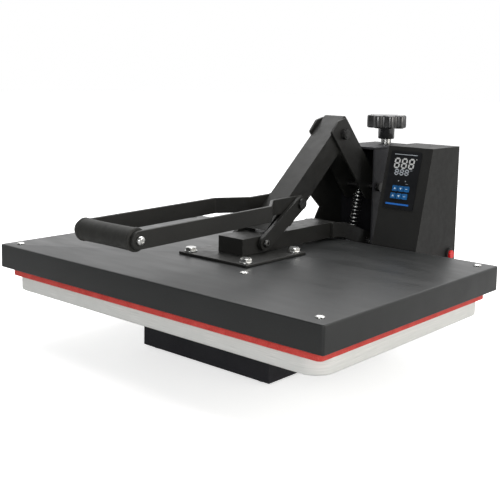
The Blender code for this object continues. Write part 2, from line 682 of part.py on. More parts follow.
# ---- lever ---------------------------------------------------------------------------------------------
def lever_tube():
    """A square tube along the two lever pivots; its toe is cut level above the arm."""
    along = (TOP_PIVOT - LINK_TOP).normalized()
    up = Vector((-along.y, along.x))
    toe = COVER_TOP + MOUNT_THICKNESS + ARM_HEIGHT + LEVER_TOE_CLEARANCE

    def at_level(offset, level):
        start = LINK_TOP + up * offset
        return start + along * ((level - start.y) / along.y)

    def outline(half, top, level):
        return [tuple(at_level(half, level)), tuple(at_level(-half, level)),
                tuple(top - up * half), tuple(top + up * half)]

    half = LEVER_DEPTH / 2
    top = TOP_PIVOT + along * LEVER_TOP_OVERHANG
    edge = rounded(outline(half, top, toe), [0.0, 0.0, 0.004, 0.006], 4)
    obj = as_mesh(side_plate([edge], -LEVER_HALF, LEVER_HALF))
    inner = half - LEVER_WALL
    hollow = as_mesh(side_plate([outline(inner, top + along * 0.02, toe - 0.01)], -LEVER_HALF + LEVER_WALL,
                                LEVER_HALF - LEVER_WALL))
    bore = cross_rod(PIN_RADIUS + RUNNING, TOP_PIVOT, -LEVER_HALF - 0.01, LEVER_HALF + 0.01)
    cut(obj, hollow, bore)
    finish(obj, "lever_tube", (COAT, 0.4), lever_body, weld=True)


def handle_height(y):
    return GRIP_HEIGHT + (y - GRIP_Y) * math.tan(HANDLE_SLOPE)


def handle_bars():
    """Flat bars from the grip back to the lever, stepping inwards beside it."""
    half = HANDLE_DEPTH / 2
    step_start, step_end = HINGE_Y - HANDLE_STEP_START, HINGE_Y - HANDLE_STEP_END
    front, rear = GRIP_Y - HANDLE_NOSE, LINK_TOP.x + HANDLE_OVERLAP
    for side, sign in (("left", -1.0), ("right", 1.0)):
        outer = HANDLE_SPREAD + BAR_THICKNESS
        path = [(HANDLE_SPREAD, front), (outer, front), (outer, step_start),
                (HANDLE_OUTER, step_end), (HANDLE_OUTER, rear), (HANDLE_INNER, rear),
                (HANDLE_INNER, step_end - 0.0015), (HANDLE_SPREAD, step_start - 0.0015)]
        plan = rounded(path, [0.0, 0.0, 0.008, 0.005, 0.0, 0.0, 0.008, 0.005], 3)
        mirrored = [(sign * x, y) for x, y in plan][::int(sign)]
        tall = as_mesh(level_plate([mirrored], COVER_TOP, COVER_TOP + 0.14))
        side_view = [(GRIP_Y, handle_height(GRIP_Y) + half), (GRIP_Y, handle_height(GRIP_Y) - half),
                     (rear, handle_height(rear) - half), (rear, handle_height(rear) + half)]
        nose = [(GRIP_Y + half * math.cos(a), GRIP_HEIGHT + half * math.sin(a))
                for a in (math.pi * (0.5 + k / 12) for k in range(13))]
        keep = as_mesh(side_plate([nose + side_view[2:]], -0.1, 0.1))
        hole = cross_rod(GRIP_BOLT_RADIUS + RUNNING, (GRIP_Y, GRIP_HEIGHT), sign * (HANDLE_SPREAD - 0.01),
                         sign * (outer + 0.01), 16)
        boolean(tall, [keep], "INTERSECT")
        cut(tall, hole)
        finish(tall, f"handle_bar_{side}", (COAT, 0.4), lever_body)


def handle_grip():
    reach = HANDLE_SPREAD - GAP
    obj = cross_rod(GRIP_RADIUS, (GRIP_Y, GRIP_HEIGHT), -reach, reach, 36)
    cut(obj, cross_rod(GRIP_BOLT_RADIUS + RUNNING, (GRIP_Y, GRIP_HEIGHT), -reach - 0.01, reach + 0.01, 16))
    finish(obj, "handle_grip", (BLACK_PLASTIC, 0.6), lever_body, smooth=True)


def through_bolt(name, point, shank, outer, head, across, parent, bright=True):
    """A bolt across the press with a hexagonal head at one end and its nut at the other."""
    obj = cross_rod(shank, point, -outer - head, outer + head, 16)
    join(obj, hexagon(across, point, outer + GAP, outer + head - 0.001, "X"),
         hexagon(across, point, -outer - head + 0.001, -outer - GAP, "X"))
    look = (ZINC, 0.25, 0.9) if bright else (COAT, 0.35, 0.5)
    finish(obj, name, look, parent, smooth=True)


# ---- link ----------------------------------------------------------------------------------------------
def link_bars():
    edge = slot_outline(LINK_FOOT, LINK_TOP, LINK_RADIUS)
    holes = [circle(LINK_FOOT, LINK_PIN_RADIUS + RUNNING), circle(LINK_TOP, PIN_RADIUS + RUNNING)]
    for side, left, right in (("left", -LINK_OUTER, -LINK_INNER), ("right", LINK_INNER, LINK_OUTER)):
        obj = side_plate([edge, *holes], left, right)
        finish(as_mesh(obj), f"link_bar_{side}", (COAT, 0.4), link_body, bevel=0.0006)
        outer = right if side == "right" else left
        sign = 1.0 if side == "right" else -1.0
        inner = left if side == "right" else right
        pin = cross_rod(PIN_RADIUS, LINK_TOP, *sorted((inner, outer + sign * 0.0012)), 20)
        ends = sorted((outer + sign * GAP, outer + sign * 0.0040))
        head = cross_rod(PIN_RADIUS + 0.0025, LINK_TOP, *ends, 20)
        join(pin, head)
        finish(pin, f"link_top_rivet_{side}", (COAT, 0.35, 0.5), link_body, smooth=True)


# ---- arm and upper platen ------------------------------------------------------------------------------
ARM_BOTTOM = COVER_TOP + GAP + MOUNT_THICKNESS + GAP
ARM_TOP = ARM_BOTTOM + ARM_HEIGHT
ARM_FRONT = LINK_FOOT.x - 0.046
ARM_REAR = HINGE_Y - 0.108
MOUNT_BOLTS = [(sx * MOUNT_BOLT_SPACING / 2, MOUNT_CENTRE + sy * MOUNT_BOLT_SPACING / 2)
               for sx, sy in ((-1, -1), (1, -1), (-1, 1), (1, 1))]
COVER_SCREWS = [(sx * (COVER_WIDTH / 2 - COVER_SCREW_INSET), sy * (COVER_DEPTH / 2 - COVER_SCREW_INSET))
                for sx, sy in ((-1, -1), (1, -1), (-1, 1), (1, 1))]
COVER_SCREWS.append((MOUNT_SIZE / 2 + 0.017, MOUNT_CENTRE - MOUNT_SIZE / 2 - 0.0245))
BOLT_RADIUS = 0.004
SCREW_SHANK = 0.0025
HOLE_SLACK = 0.0005


def drilled(obj, places, radius, low, high):
    for x, y in places:
        cut(obj, rod(radius + HOLE_SLACK, (x, y, low), (x, y, high), 16))
    return obj


def arm_tube():
    obj = block((-ARM_HALF, ARM_FRONT, ARM_BOTTOM), (ARM_HALF, ARM_REAR, ARM_TOP))
    hollow = block((-ARM_HALF + ARM_WALL, ARM_FRONT + ARM_WALL, ARM_BOTTOM + ARM_WALL),
                   (ARM_HALF - ARM_WALL, ARM_REAR + 0.01, ARM_TOP - ARM_WALL))
    cut(obj, hollow, cross_rod(LINK_PIN_RADIUS + RUNNING, LINK_FOOT, -ARM_HALF - 0.01, ARM_HALF + 0.01))
    finish(obj, "arm_tube", (COAT, 0.45), arm_body)


def side_plate_outline():
    """The plate that carries the arm down and back to its hinge in the column."""
    aside = Vector((-ARM_PLATE_DROP.y, ARM_PLATE_DROP.x)) * ARM_PLATE_HALF
    knee = ARM_PIVOT - ARM_PLATE_DROP * ARM_PLATE_KNEE
    front = ARM_REAR - 0.012
    tail = ARM_PIVOT.x + ARM_PLATE_TAIL
    return [(front, ARM_BOTTOM), tuple(knee - aside), tuple(ARM_PIVOT - aside),
            (tail, ARM_PIVOT.y - ARM_PLATE_HALF), (tail, ARM_PIVOT.y + ARM_PLATE_HALF),
            tuple(ARM_PIVOT + aside * 1.15), tuple(knee + aside), (front, ARM_TOP)]


def arm_side_plates():
    holes = [circle(ARM_PIVOT, HINGE_PIN_RADIUS + RUNNING, 24),
             circle(SPRING_PIN, SPRING_PIN_RADIUS + RUNNING, 12)]
    edge = rounded(side_plate_outline(), [0.002, 0.004, 0.010, 0.005, 0.005, 0.010, 0.008, 0.002], 3)
    for side, left, right in (("left", -CHEEK_OUTER, -CHEEK_INNER), ("right", CHEEK_INNER, CHEEK_OUTER)):
        obj = side_plate([edge, *holes], left, right)
        finish(as_mesh(obj), f"arm_side_plate_{side}", (COAT, 0.45), arm_body)


def column_gusset():
    """A plate inside the column's left wall, cut round so that the rising cover's rear edge clears it."""
    sweep = HINGE_Y - COVER_DEPTH / 2 - GUSSET_CLEARANCE
    arc = [(ARM_PIVOT.x + sweep * math.cos(a), ARM_PIVOT.y + sweep * math.sin(a))
           for a in (math.radians(139 + 25 * k / 6) for k in range(7))]
    rear = ROCKER_PIVOT.x - PIN_RADIUS - 0.001
    outline = [(rear, ROCKER_PIVOT.y + 0.002), (HINGE_Y - 0.043, COVER_TOP + 0.119),
               (HINGE_Y - 0.063, COVER_TOP + 0.128), (HINGE_Y - 0.105, COVER_TOP + 0.073),
               *arc, (rear, COVER_TOP + 0.009)]
    outer = -COLUMN_INNER + GAP
    obj = side_plate([outline], outer, outer + GUSSET_THICKNESS)
    finish(as_mesh(obj), "column_gusset", (COAT, 0.45), frame_origin)


def mount_plate():
    half = MOUNT_SIZE / 2
    edge = rounded(rectangle(-half, MOUNT_CENTRE - half, half, MOUNT_CENTRE + half), 0.002, 2)
    holes = [circle(place, BOLT_RADIUS + HOLE_SLACK, 16) for place in MOUNT_BOLTS]
    obj = level_plate([edge, *holes], COVER_TOP + GAP, COVER_TOP + GAP + MOUNT_THICKNESS)
    finish(as_mesh(obj), "mount_plate", (COAT, 0.3), arm_body, bevel=0.0005)


def upper_fasteners():
    """Hexagonal bolts through the mount plate, pan-head screws through the cover."""
    seat = COVER_TOP + GAP + MOUNT_THICKNESS + GAP
    depth = HEATER_BOTTOM + HEATER_THICKNESS - 0.008
    for number, (x, y) in enumerate(MOUNT_BOLTS, 1):
        bolt = rod(BOLT_RADIUS, (x, y, depth), (x, y, seat + 0.002), 16)
        washer = rod(MOUNT_WASHER_RADIUS, (x, y, seat), (x, y, seat + MOUNT_WASHER_THICKNESS), 20)
        join(bolt, hexagon(MOUNT_BOLT_ACROSS, (x, y), seat, seat + MOUNT_BOLT_HEAD), washer)
        finish(bolt, f"mount_bolt_{number}", (ZINC, 0.25, 0.9), arm_body)
    for number, (x, y) in enumerate(COVER_SCREWS, 1):
        screw = rod(SCREW_SHANK, (x, y, COVER_TOP - 0.010), (x, y, COVER_TOP + 0.002), 12)
        join(screw, rod(COVER_SCREW_HEAD, (x, y, COVER_TOP + GAP), (x, y, COVER_TOP + 0.0030), 20))
        finish(screw, f"cover_screw_{number}", (ZINC, 0.25, 0.9), arm_body, smooth=True)


def heat_cover():
    half_w, half_d = COVER_WIDTH / 2, COVER_DEPTH / 2
    edge = rounded(rectangle(-half_w, -half_d, half_w, half_d), COVER_CORNER, 4)
    obj = as_mesh(level_plate([edge], COVER_TOP - COVER_HEIGHT, COVER_TOP))
    hollow = block((-half_w + COVER_WALL, -half_d + COVER_WALL, COVER_TOP - COVER_HEIGHT - 0.01),
                   (half_w - COVER_WALL, half_d - COVER_WALL, COVER_UNDERSIDE))
    cut(obj, hollow)
    drilled(obj, MOUNT_BOLTS, BOLT_RADIUS, COVER_UNDERSIDE - 0.01, COVER_TOP + 0.01)
    drilled(obj, COVER_SCREWS, SCREW_SHANK, COVER_UNDERSIDE - 0.01, COVER_TOP + 0.01)
    finish(obj, "heat_cover", ((0.075, 0.078, 0.078), 0.35), arm_body, bevel=0.0008)


def heating_platen():
    half_w, half_d = PLATEN_WIDTH / 2, PLATEN_DEPTH / 2
    edge = rounded(rectangle(-half_w, -half_d, half_w, half_d), 0.008, 3)
    obj = as_mesh(level_plate([edge], HEATER_BOTTOM, HEATER_BOTTOM + HEATER_THICKNESS))
    drilled(obj, MOUNT_BOLTS, BOLT_RADIUS, HEATER_BOTTOM + HEATER_THICKNESS - 0.010, COVER_TOP)
    finish(obj, "heating_platen", (ALUMINIUM, 0.4, 0.9), arm_body)


def insulation():
    half_w = PLATEN_WIDTH / 2 - INSULATION_INSET
    half_d = PLATEN_DEPTH / 2 - INSULATION_INSET
    low, high = HEATER_BOTTOM + HEATER_THICKNESS + GAP, COVER_UNDERSIDE - GAP
    edge = rounded(rectangle(-half_w, -half_d, half_w, half_d), 0.010, 2)
    obj = as_mesh(level_plate([edge], low, high))
    drilled(obj, MOUNT_BOLTS, BOLT_RADIUS, low - 0.01, high + 0.01)
    drilled(obj, COVER_SCREWS, SCREW_SHANK, low - 0.01, high + 0.01)
    finish(obj, "insulation", ((0.62, 0.58, 0.48), 0.9), arm_body)


base_frame()
feet()
lower_platen()
silicone_pad()
column()
column_cap()
column_gusset()
column_pins()
lift_spring()
spring_pin()
control_box()
control_box_back()
panel_label()
keys()
power_switch()
power_inlet()
circuit_board()
pressure_knob()
pressure_screw()
rocker_plates()
rocker_crossbar()
lever_tube()
handle_bars()
handle_grip()
through_bolt("grip_bolt", (GRIP_Y, GRIP_HEIGHT), GRIP_BOLT_RADIUS, HANDLE_SPREAD + BAR_THICKNESS, 0.0055,
             0.0105, lever_body)
through_bolt("top_pivot_bolt", TOP_PIVOT, PIN_RADIUS, ROCKER_OUTER, 0.0085, 0.016, lever_body, bright=False)
link_bars()
through_bolt("link_foot_pin", LINK_FOOT, LINK_PIN_RADIUS, LINK_OUTER, 0.0045, 0.0105, arm_body, bright=False)
arm_tube()
arm_side_plates()
mount_plate()
upper_fasteners()
heat_cover()
heating_platen()
insulation()
bpy.context.view_layer.update()
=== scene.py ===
# The looks of the heat press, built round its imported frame. Metres, +Z up, operator on the -Y side.

import json
import math

import bmesh
import bpy
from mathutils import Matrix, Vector


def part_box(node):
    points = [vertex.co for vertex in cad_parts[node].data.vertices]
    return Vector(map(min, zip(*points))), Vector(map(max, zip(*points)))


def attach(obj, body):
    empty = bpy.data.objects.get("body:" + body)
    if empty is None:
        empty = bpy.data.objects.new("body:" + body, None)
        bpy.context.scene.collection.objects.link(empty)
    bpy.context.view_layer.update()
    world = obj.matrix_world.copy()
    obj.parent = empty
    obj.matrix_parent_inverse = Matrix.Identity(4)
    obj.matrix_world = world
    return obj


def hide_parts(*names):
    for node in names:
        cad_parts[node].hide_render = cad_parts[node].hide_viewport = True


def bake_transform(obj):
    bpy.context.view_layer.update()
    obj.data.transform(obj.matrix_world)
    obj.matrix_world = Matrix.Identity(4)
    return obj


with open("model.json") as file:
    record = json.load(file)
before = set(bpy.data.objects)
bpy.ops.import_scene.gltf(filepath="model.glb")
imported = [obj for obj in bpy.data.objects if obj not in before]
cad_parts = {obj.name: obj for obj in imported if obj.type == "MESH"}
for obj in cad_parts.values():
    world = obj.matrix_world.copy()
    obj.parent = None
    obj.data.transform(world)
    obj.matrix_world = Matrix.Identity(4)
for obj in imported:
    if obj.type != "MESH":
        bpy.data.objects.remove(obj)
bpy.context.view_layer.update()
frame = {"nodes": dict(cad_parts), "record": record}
nodes = frame["nodes"]
body_of = {node: body for body, held in frame["record"]["behaviour"]["bodies"].items() for node in held}
slot_of = {row["node"]: row["material_slot"] for row in frame["record"]["subparts"]}

# ---- camera ----------------------------------------------------------------------------------------------
CAMERA_OFFSET = Vector((0.887, -0.999, 0.2819))      # from the middle of the cover's top
CAMERA_TURN = tuple(math.radians(angle) for angle in (82.92, -1.113, 41.251))
LENS = 63.45
SHIFT_DOWN = 0.14

cover_low, cover_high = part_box("heat_cover")
COVER_MIDDLE = Vector(((cover_low.x + cover_high.x) / 2, (cover_low.y + cover_high.y) / 2, cover_high.z))

camera = bpy.data.objects.new("camera", bpy.data.cameras.new("camera"))
bpy.context.scene.collection.objects.link(camera)
camera.location = COVER_MIDDLE + CAMERA_OFFSET
camera.rotation_euler = CAMERA_TURN
camera.data.lens = LENS
camera.data.shift_y = -SHIFT_DOWN
bpy.context.scene.camera = camera
bpy.context.scene.view_settings.view_transform = "Standard"


# ---- materials -------------------------------------------------------------------------------------------
class Surface:
    """A Principled material and short ways to add nodes to it. Patterns lie in object space, in metres."""

    def __init__(self, name, roughness, metallic=0.0, specular=0.5, coat=0.0, coat_roughness=0.1):
        self.material = bpy.data.materials.new(name)
        self.material.use_nodes = True
        self.tree = self.material.node_tree
        self.shader = self.tree.nodes["Principled BSDF"]
        self.shader.inputs["Metallic"].default_value = metallic
        self.shader.inputs["Roughness"].default_value = roughness
        self.shader.inputs["Specular IOR Level"].default_value = specular
        self.shader.inputs["Coat Weight"].default_value = coat
        self.shader.inputs["Coat Roughness"].default_value = coat_roughness
        self.place = self.tree.nodes.new("ShaderNodeTexCoord").outputs["Object"]

    def link(self, source, node, socket):
        self.tree.links.new(source, node.inputs[socket])

    def noise(self, size, detail=3.0, stretch=(1.0, 1.0, 1.0), offset=0.0):
        """Noise whose features are about `size` metres across, drawn out by `stretch` along each axis."""
        mapping = self.tree.nodes.new("ShaderNodeMapping")
        mapping.inputs["Scale"].default_value = tuple(1.0 / (size * factor) for factor in stretch)
        mapping.inputs["Location"].default_value = (offset, offset, offset)
        pattern = self.tree.nodes.new("ShaderNodeTexNoise")
        pattern.inputs["Scale"].default_value = 1.0
        pattern.inputs["Detail"].default_value = detail
        self.link(self.place, mapping, "Vector")
        self.link(mapping.outputs["Vector"], pattern, "Vector")
        return pattern.outputs["Fac"]

    def remap(self, source, low, high, to_low=0.0, to_high=1.0):
        change = self.tree.nodes.new("ShaderNodeMapRange")
        for socket, value in (("From Min", low), ("From Max", high), ("To Min", to_low), ("To Max", to_high)):
            change.inputs[socket].default_value = value
        self.link(source, change, "Value")
        return change.outputs["Result"]

    def blend(self, share, first, second):
        """A colour from first to second by share; each may be a colour or a socket."""
        mix = self.tree.nodes.new("ShaderNodeMix")
        mix.data_type = "RGBA"
        self.link(share, mix, 0)
        for socket, colour in ((6, first), (7, second)):
            if isinstance(colour, tuple):
                mix.inputs[socket].default_value = (*colour, 1.0)
            else:
                self.link(colour, mix, socket)
        return mix.outputs[2]

    def product(self, first, second):
        math_node = self.tree.nodes.new("ShaderNodeMath")
        math_node.operation = "MULTIPLY"
        self.link(first, math_node, 0)
        self.link(second, math_node, 1)
        return math_node.outputs[0]

    def edges(self, radius):
        """1 on convex and concave edges, 0 on flat faces."""
        bevel = self.tree.nodes.new("ShaderNodeBevel")
        bevel.samples = 4
        bevel.inputs["Radius"].default_value = radius
        geometry = self.tree.nodes.new("ShaderNodeNewGeometry")
        dot = self.tree.nodes.new("ShaderNodeVectorMath")
        dot.operation = "DOT_PRODUCT"
        self.link(bevel.outputs["Normal"], dot, 0)
        self.link(geometry.outputs["Normal"], dot, 1)
        return self.remap(dot.outputs["Value"], 0.97, 0.80)

    def colour(self, source):
        self.link(source, self.shader, "Base Color")

    def roughness(self, source):
        self.link(source, self.shader, "Roughness")

    def bump(self, *layers):
        """Bumps laid on each other; each layer is (height, strength, depth in metres)."""
        normal = None
        for height, strength, depth in layers:
            node = self.tree.nodes.new("ShaderNodeBump")
            node.inputs["Strength"].default_value = strength
            node.inputs["Distance"].default_value = depth
            self.link(height, node, "Height")
            if normal:
                self.link(normal, node, "Normal")
            normal = node.outputs["Normal"]
        self.link(normal, self.shader, "Normal")


def powder_coat(name, dark, light, roughness=0.5, grain=0.0011, specular=0.3, edge_highlight_colour=(0.10, 0.10, 0.095)):
    """Textured black coat: fine grain, slow drift in tone, and a painted highlight along the edges, in
    patches.
    """
    surface = Surface(name, roughness, specular=specular)
    drift = surface.remap(surface.noise(0.07, 3.0), 0.3, 0.7)
    speck = surface.remap(surface.noise(grain, 2.0, offset=3.1), 0.45, 0.75, 0.0, 0.6)
    tone = surface.blend(speck, surface.blend(drift, dark, light), tuple(1.6 * value for value in light))
    patches = surface.remap(surface.noise(0.006, 4.0, offset=7.7), 0.42, 0.62)
    # Convex and concave edges are lightened in patches towards the last colour: a painted highlight along the
    # edges.
    painted_edge_highlight = surface.product(surface.edges(0.0012), patches)
    surface.colour(surface.blend(painted_edge_highlight, tone, edge_highlight_colour))
    sheen = surface.noise(0.012, 3.0, offset=1.3)
    surface.roughness(surface.remap(sheen, 0.3, 0.7, roughness - 0.07, roughness + 0.07))
    surface.bump((surface.noise(grain, 2.0, offset=5.9), 0.35, 0.00025),
                 (surface.noise(0.004, 2.0), 0.12, 0.0005))
    return surface.material


def smooth_enamel(name, dark, light, roughness=0.36, specular=0.5):
    """Even enamel on sheet metal: slight orange peel, faint wiping marks, slow waves in the sheet and a
    painted highlight along the edges.
    """
    surface = Surface(name, roughness, specular=specular)
    drift = surface.remap(surface.noise(0.16, 3.0), 0.3, 0.7)
    speck = surface.remap(surface.noise(0.0016, 2.0, offset=2.7), 0.5, 0.8, 0.0, 0.5)
    tone = surface.blend(speck, surface.blend(drift, dark, light), tuple(1.35 * value for value in light))
    patches = surface.remap(surface.noise(0.008, 4.0, offset=4.4), 0.45, 0.65)
    # Convex and concave edges are lightened in patches towards a pale grey: a painted highlight along the
    # edges.
    painted_edge_highlight = surface.product(surface.edges(0.0010), patches)
    surface.colour(surface.blend(painted_edge_highlight, tone, (0.13, 0.13, 0.125)))
    wiped = surface.noise(0.030, 4.0, stretch=(3.5, 1.0, 1.0), offset=8.2)
    surface.roughness(surface.remap(wiped, 0.3, 0.7, roughness - 0.05, roughness + 0.06))
    surface.bump((surface.noise(0.0018, 2.0, offset=0.9), 0.16, 0.0002),
                 (surface.noise(0.09, 1.0), 0.25, 0.0012))
    return surface.material


def cast_aluminium(name):
    """Milled and mottled aluminium plate."""
    surface = Surface(name, 0.42, metallic=0.12, specular=0.5)
    mottle = surface.remap(surface.noise(0.022, 5.0), 0.32, 0.68)
    streak = surface.remap(surface.noise(0.0009, 3.0, stretch=(40.0, 40.0, 1.0), offset=2.0), 0.35, 0.65)
    base = surface.blend(mottle, (0.82, 0.83, 0.80), (0.94, 0.94, 0.91))
    surface.colour(surface.blend(surface.product(streak, mottle), base, (0.74, 0.75, 0.72)))
    surface.roughness(surface.remap(surface.noise(0.010, 4.0, offset=6.0), 0.3, 0.7, 0.34, 0.55))
    surface.bump((surface.noise(0.0009, 3.0, stretch=(30.0, 30.0, 1.0)), 0.15, 0.0002))
    return surface.material


def plated(name, bright=(0.78, 0.78, 0.76), dull=(0.52, 0.53, 0.52), roughness=0.24):
    """Bright zinc plate with faint staining."""
    surface = Surface(name, roughness, metallic=1.0)
    stain = surface.remap(surface.noise(0.004, 4.0), 0.35, 0.70)
    surface.colour(surface.blend(stain, bright, dull))
    sheen = surface.noise(0.0025, 3.0, offset=1.0)
    surface.roughness(surface.remap(sheen, 0.3, 0.7, roughness - 0.06, roughness + 0.12))
    surface.bump((surface.noise(0.0006, 2.0), 0.08, 0.0001))
    return surface.material


def silicone(name):
    """Red silicone sheet with a dusty bloom."""
    surface = Surface(name, 0.6, specular=0.35)
    bloom = surface.remap(surface.noise(0.018, 4.0), 0.35, 0.7)
    grain = surface.remap(surface.noise(0.0012, 2.0, offset=4.0), 0.5, 0.8, 0.0, 0.6)
    tone = surface.blend(bloom, (0.62, 0.045, 0.035), (0.76, 0.085, 0.070))
    surface.colour(surface.blend(grain, tone, (0.84, 0.16, 0.14)))
    surface.roughness(surface.remap(bloom, 0.0, 1.0, 0.52, 0.68))
    surface.bump((surface.noise(0.0012, 2.0, offset=2.0), 0.25, 0.0003))
    return surface.material


def moulded(name, colour, roughness, grain=0.0014, specular=0.4, depth=0.0002, coat=0.0):
    """Moulded plastic or rubber with a fine grain."""
    surface = Surface(name, roughness, specular=specular, coat=coat)
    drift = surface.remap(surface.noise(0.020, 3.0), 0.3, 0.7)
    lighter = tuple(min(1.0, 1.5 * value + 0.002) for value in colour)
    surface.colour(surface.blend(drift, colour, lighter))
    sheen = surface.noise(0.006, 3.0, offset=3.0)
    surface.roughness(surface.remap(sheen, 0.3, 0.7, roughness - 0.05, roughness + 0.08))
    surface.bump((surface.noise(grain, 2.0, offset=1.0), 0.3, depth))
    return surface.material


def fibre_board(name):
    surface = Surface(name, 0.95, specular=0.1)
    strands = surface.noise(0.0015, 5.0, stretch=(6.0, 1.0, 1.0))
    surface.colour(surface.blend(surface.remap(strands, 0.3, 0.7), (0.50, 0.46, 0.37), (0.72, 0.68, 0.58)))
    surface.bump((strands, 0.8, 0.0008))
    return surface.material


def glowing_print(name, colour, strength):
    """Lit or printed marks on the panel, slightly uneven; each glows faintly, and on the printed marks that
    glow is painted light.
    """
    surface = Surface(name, 0.45)
    uneven = surface.remap(surface.noise(0.002, 2.0), 0.3, 0.7, 0.85, 1.0)
    tone = surface.blend(uneven, tuple(0.6 * value for value in colour), colour)
    surface.colour(tone)
    surface.link(tone, surface.shader, "Emission Color")
    surface.shader.inputs["Emission Strength"].default_value = strength
    return surface.material


MATERIALS = {
    "coat": powder_coat("satin_black_coat", (0.0200, 0.0200, 0.0235), (0.0280, 0.0280, 0.0320)),
    "linkage_coat": powder_coat("linkage_enamel", (0.0115, 0.0115, 0.0105), (0.0165, 0.0165, 0.0150),
                                roughness=0.40, grain=0.0009, specular=0.35),
    "box_coat": powder_coat("box_powder_coat", (0.0150, 0.0150, 0.0145), (0.0200, 0.0200, 0.0190),
                            roughness=0.52, grain=0.0010, specular=0.28),
    "cover_coat": smooth_enamel("cover_enamel", (0.0150, 0.0160, 0.0160), (0.0195, 0.0210, 0.0210)),
    "aluminium": cast_aluminium("platen_aluminium"),
    "zinc": plated("zinc_plate"),
    "black_bolt": plated("black_oxide", (0.130, 0.130, 0.128), (0.070, 0.070, 0.068), roughness=0.32),
    "silicone": silicone("red_silicone"),
    "grip_foam": moulded("grip_rubber", (0.0170, 0.0170, 0.0150), roughness=0.58, grain=0.0016,
                         specular=0.35, depth=0.0004),
    "foot_rubber": moulded("foot_rubber", (0.015, 0.015, 0.015), roughness=0.8, grain=0.0012, specular=0.3),
    "knob_plastic": moulded("knob_bakelite", (0.014, 0.014, 0.014), roughness=0.30, grain=0.004,
                            specular=1.0, depth=0.00005, coat=0.6),
    "label_film": moulded("label_film", (0.0065, 0.0070, 0.0085), roughness=0.34, grain=0.001,
                          specular=0.4, depth=0.00005),
    "key_film": moulded("key_film", (0.012, 0.105, 0.290), roughness=0.38, grain=0.001,
                        specular=0.4, depth=0.00005),
    "switch_plastic": moulded("switch_plastic", (0.010, 0.010, 0.010), roughness=0.4),
    "switch_red": moulded("switch_red", (0.62, 0.010, 0.012), roughness=0.22, grain=0.003,
                          specular=0.6, depth=0.00005, coat=0.3),
    "board": moulded("board_mask", (0.012, 0.09, 0.030), roughness=0.4),
    "fibre": fibre_board("mineral_fibre"),
}
# Every mark below glows a little; on printed marks, such as the stripe, the top line and the key symbols, the
# glow is painted light.
DIGIT = glowing_print("digit_print", (0.62, 0.63, 0.62), 0.10)
PALE_MARK = glowing_print("pale_mark", (0.50, 0.54, 0.58), 0.05)
KEY_MARK = glowing_print("key_mark", (0.62, 0.78, 0.90), 0.10)
STRIPE = glowing_print("stripe_print", (0.020, 0.170, 0.620), 0.08)

for node, obj in nodes.items():
    obj.data.materials.clear()
    obj.data.materials.append(MATERIALS[slot_of[node]])


# ---- making pieces ---------------------------------------------------------------------------------------
def shade(mesh, angle=35.0):
    mesh.shade_smooth()
    mesh.set_sharp_from_angle(angle=math.radians(angle))


def piece(name, grid, body, look, stands_for=(), angle=35.0):
    """A new object from a bmesh, riding on its body."""
    mesh = bpy.data.meshes.new(name)
    grid.normal_update()
    grid.to_mesh(mesh)
    grid.free()
    mesh.materials.append(look)
    shade(mesh, angle)
    obj = bpy.data.objects.new(name, mesh)
    bpy.context.scene.collection.objects.link(obj)
    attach(obj, body)
    if stands_for:
        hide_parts(*stands_for)
    return obj


def stand_in(node, name, grid, angle=35.0):
    """A finer piece that is shown in place of a CAD node."""
    return piece(name, grid, body_of[node], MATERIALS[slot_of[node]], (node,), angle)


def softened(node, width, segments=3, angle=28.0):
    """The CAD node's own shape with its facets merged and its edges rounded."""
    grid = bmesh.new()
    grid.from_mesh(nodes[node].data)
    bmesh.ops.remove_doubles(grid, verts=grid.verts, dist=0.00001)
    bmesh.ops.dissolve_limit(grid, angle_limit=math.radians(0.6), verts=grid.verts, edges=grid.edges)
    obj = stand_in(node, f"{node}_finished", grid)
    edge = obj.modifiers.new("rounded_edges", "BEVEL")
    edge.width = width
    edge.segments = segments
    edge.limit_method = "ANGLE"
    edge.angle_limit = math.radians(angle)
    edge.harden_normals = True
    return obj


def middle_of(low, high):
    return (low + high) / 2


def middle_at(low, high, height):
    """The middle of a box seen from above, at a height."""
    return Vector(((low.x + high.x) / 2, (low.y + high.y) / 2, height))


def join_rings(grid, rings):
    """Quads between successive rings of vertices, and a cap at each end."""
    count = len(rings[0])
    for lower, upper in zip(rings, rings[1:]):
        for i in range(count):
            j = (i + 1) % count
            grid.faces.new((lower[i], lower[j], upper[j], upper[i]))
    grid.faces.new(rings[0][::-1])
    grid.faces.new(rings[-1])


def loft(rings):
    """A closed shape through successive rings of points, all of equal length."""
    grid = bmesh.new()
    join_rings(grid, [[grid.verts.new(point) for point in ring] for ring in rings])
    bmesh.ops.recalc_face_normals(grid, faces=grid.faces)
    return grid


def rounded_rectangle(low, high, radius, steps=6):
    """Points round a rectangle with round corners, counter-clockwise from above."""
    corners = (((high.x, low.y), -90), ((high.x, high.y), 0), ((low.x, high.y), 90), ((low.x, low.y), 180))
    middle = Vector(((low.x + high.x) / 2, (low.y + high.y) / 2))
    points = []
    for (x, y), start in corners:
        centre = Vector((x - math.copysign(radius, x - middle.x), y - math.copysign(radius, y - middle.y)))
        for k in range(steps + 1):
            turn = math.radians(start + 90.0 * k / steps)
            points.append((centre.x + radius * math.cos(turn), centre.y + radius * math.sin(turn)))
    return points


LEAST_CORNER = 0.0004


def ring_at(low, high, radius, inset, height, steps=6):
    """A rounded rectangle at a height, drawn in from the box by inset."""
    shrink = Vector((inset, inset, 0.0))
    edge = rounded_rectangle(low + shrink, high - shrink, max(radius - inset, LEAST_CORNER), steps)
    return [(x, y, height) for x, y in edge]


